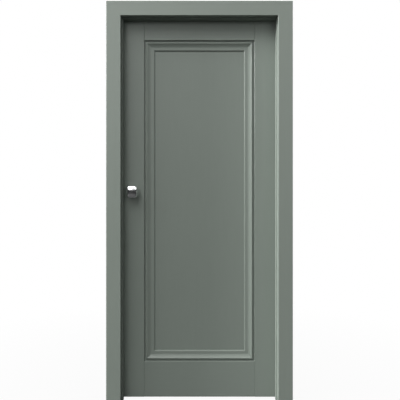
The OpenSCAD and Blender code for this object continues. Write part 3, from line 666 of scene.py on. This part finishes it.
countersunk = screw_tree()
for screws_name, body, nodes_replaced, spots in (
        ("frame_screws_threaded", "frame", ("hinge_frame_screws", "strike_screws"),
         screw_places(HINGE_X + HINGE_FACE_GAP, -1, STRIKE_FACE, 1, LATCH_Z, STRIKE_SCREW_HALF)),
        ("leaf_screws_threaded", "leaf", ("hinge_leaf_screws", "faceplate_screws"),
         screw_places(HINGE_X - HINGE_FACE_GAP, 1, LOCK_EDGE, -1, PLATE_MIDDLE, PLATE_SCREW_HALF))):
    screws_piece = grown(screws_name, countersunk, SCREW_SIZES, *spots)
    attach(screws_piece, body)
    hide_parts(*nodes_replaced)

SPRING_WIRE_R = 0.4 * MM
SPRING_SIZES = {"Coil radius": 2.9 * MM, "Wire radius": SPRING_WIRE_R, "Turns": 6.0,
                "Height": SPRING_END - SPRING_START - 2 * SPRING_WIRE_R}
spring_place = (Matrix.Translation((SPRING_START + SPRING_WIRE_R, LEAF_MIDDLE, LATCH_Z))
                @ Matrix.Rotation(math.radians(90), 4, "Y"))
spring_coil = grown("latch_spring_coil", coil_tree(), SPRING_SIZES, [(0, 0, 0)], [(0, 0, 1)],
                    spring_place)
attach(spring_coil, "leaf")
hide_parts("latch_spring")
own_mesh(spring_coil)


# Floor, light, background and camera

FLOOR_HALF = 60.0
FLOOR_DROP = 0.0005
FLOOR_TONE = 0.06
NEAR, FAR = 0.5, 2.2
NEAR_WHITE, FAR_WHITE = 0.96, 1.0
WHITE = (1, 1, 1, 1)
FILL_LIGHT = 0.08
MIRRORED_SKY = 0.80
MIRROR_HORIZON = 0.07
LIT_SPOT = (0.0, 0.0, 1.0)
SENSOR_W = 36.0
LENS = 46.6
CAMERA_SHIFT = -0.055
CAMERA_PLACE = (0.0028, -HALF_DEPTH - 2.66, 1.169)

# Soft boxes, as place, width and power
SOFTBOXES = {
    "low_left_softbox": ((-5.5, -16.0, 5.5), 6.4, 295.0),
    "low_right_softbox": ((8.0, -14.0, 5.5), 6.0, 260.0),
    "front_softbox": ((-8.5, -19.2, 23.9), 24.0, 5900.0),
    "side_softbox": ((-9.0, -3.4, 8.0), 5.0, 560.0),
    "edge_softbox": ((-9.0, -1.1, 4.0), 1.8, 1750.0),
    "rear_softbox": ((7.0, 15.0, 10.0), 9.0, 2600.0),
}


def studio_floor():
    """A floor that is white to the camera and dark grey to light and mirrors."""
    mesh = bpy.data.meshes.new("studio_floor")
    corners = [(-1, -1), (1, -1), (1, 1), (-1, 1)]
    mesh.from_pydata([(x * FLOOR_HALF, y * FLOOR_HALF, -FLOOR_DROP) for x, y in corners], [],
                     [(0, 1, 2, 3)])
    floor = bpy.data.objects.new("studio_floor", mesh)
    bpy.context.scene.collection.objects.link(floor)
    material, nodes = material_nodes("studio_floor")
    grey = nodes.add("ShaderNodeBsdfDiffuse", None,
                     {"Color": (FLOOR_TONE, FLOOR_TONE, FLOOR_TONE, 1.0)})
    white = nodes.add("ShaderNodeEmission", None, {"Color": WHITE, "Strength": 1.0})
    place = nodes.add("ShaderNodeTexCoord", out="Object")
    away = nodes.add("ShaderNodeVectorMath", {"operation": "LENGTH"}, {0: place}, out="Value")
    share = nodes.add("ShaderNodeMapRange", None,
                      {0: away, 1: NEAR, 2: FAR, 3: NEAR_WHITE, 4: FAR_WHITE})
    seen = ray_kinds(nodes, "Is Camera Ray", "Is Transmission Ray") * share
    mixed = nodes.add("ShaderNodeMixShader", None, {0: seen, 1: grey, 2: white})
    nodes.add("ShaderNodeOutputMaterial", None, {"Surface": mixed})
    mesh.materials.append(material)


def ray_kinds(nodes, *kinds):
    """1 for rays of the given kinds, 0 for others."""
    path = nodes.add("ShaderNodeLightPath").socket.node.outputs
    seen = Wire(nodes, path[kinds[0]])
    for kind in kinds[1:]:
        seen = seen.most(Wire(nodes, path[kind]))
    return seen


def studio_world():
    """White to the camera, a share of that in mirrors above the horizon and a weak fill light."""
    world = bpy.data.worlds.new("studio")
    world.use_nodes = True
    bpy.context.scene.world = world
    nodes = Nodes(world.node_tree)
    direct = ray_kinds(nodes, "Is Camera Ray", "Is Transmission Ray")
    rise = axes_of(nodes, nodes.add("ShaderNodeTexCoord", out="Generated"))[2]
    glossy = ray_kinds(nodes, "Is Glossy Ray") * (rise > MIRROR_HORIZON)
    strength = (direct + glossy * MIRRORED_SKY).most(FILL_LIGHT)
    sky = nodes.add("ShaderNodeBackground", None, {"Color": WHITE, "Strength": strength})
    nodes.add("ShaderNodeOutputWorld", None, {"Surface": sky})


def soft_light(name, place, width, power):
    """A round soft box that looks at the middle of the door."""
    lamp = bpy.data.lights.new(name, "AREA")
    lamp.shape = "DISK"
    lamp.size = width
    lamp.energy = power
    obj = bpy.data.objects.new(name, lamp)
    obj.location = place
    obj.rotation_euler = (Vector(LIT_SPOT) - Vector(place)).to_track_quat("-Z", "Y").to_euler()
    bpy.context.scene.collection.objects.link(obj)


def photo_camera():
    """Square on to the door, at about chest height."""
    camera = bpy.data.cameras.new("photo_camera")
    camera.sensor_width = SENSOR_W
    camera.lens = LENS
    camera.shift_y = CAMERA_SHIFT
    obj = bpy.data.objects.new("photo_camera", camera)
    obj.location = CAMERA_PLACE
    obj.rotation_euler = (math.radians(90), 0, 0)
    bpy.context.scene.collection.objects.link(obj)
    bpy.context.scene.camera = obj


studio_floor()
studio_world()
for box_name, (box_place, box_width, box_power) in SOFTBOXES.items():
    soft_light(box_name, box_place, box_width, box_power)
photo_camera()
bpy.context.scene.view_settings.view_transform = "Standard"
